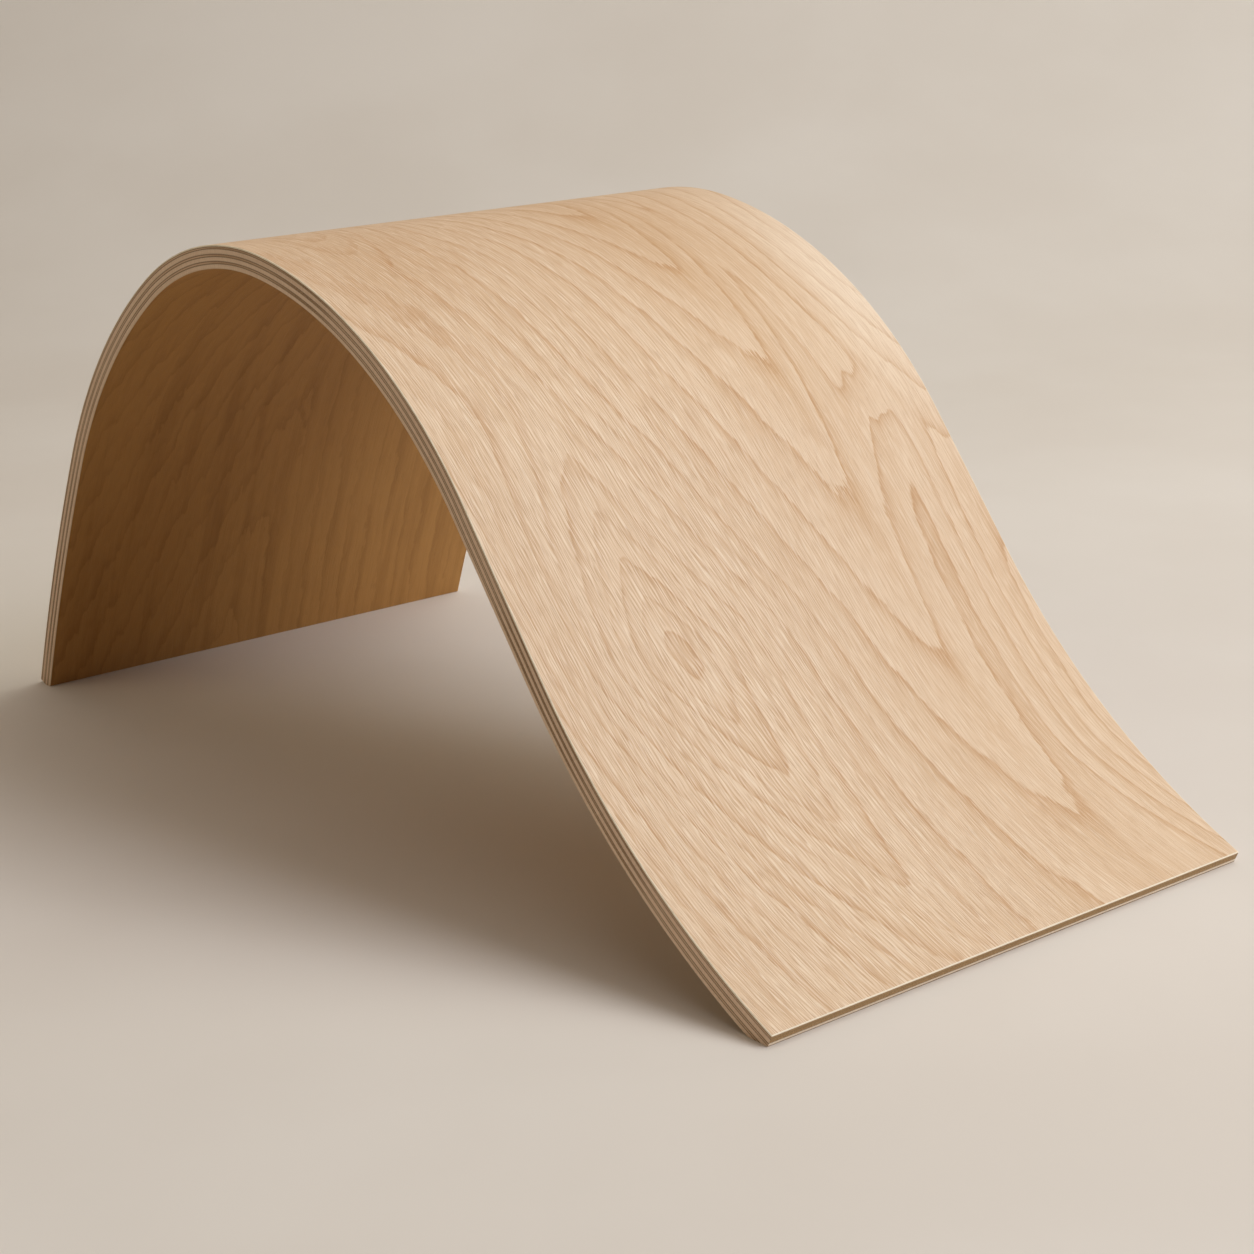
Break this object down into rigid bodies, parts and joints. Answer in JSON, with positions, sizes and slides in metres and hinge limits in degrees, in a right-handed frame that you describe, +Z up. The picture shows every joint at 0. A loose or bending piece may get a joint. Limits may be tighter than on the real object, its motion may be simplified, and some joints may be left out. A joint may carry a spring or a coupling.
{
  "type": "bent plywood sheet",
  "caption": "Sheet of cross-laid wood veneers bent into a free-standing arch, with one steep leg and a long slope that sweeps out to a level toe.",
  "frame": {"origin": "floor level, at the centre of the standing sheet's outline", "axes": "+X from the steep leg towards the toe, +Y across the sheet's width, +Z up"},
  "size_m": [0.6634, 0.3, 0.2902],
  "materials": {
    "face_veneer": "sanded pale oak veneer, unsealed",
    "crossband": "sawn end grain with dark glue lines",
    "long_grain_ply": "sawn and sanded edge",
    "back_ply": "sanded brown veneer, unsealed"
  },
  "bodies": {
    "root": {"face_veneer": "face_veneer", "face_crossband": "crossband", "outer_ply": "long_grain_ply", "middle_crossband": "crossband", "centre_ply": "long_grain_ply", "back_crossband": "crossband", "back_ply": "back_ply"}
  },
  "joints": []
}
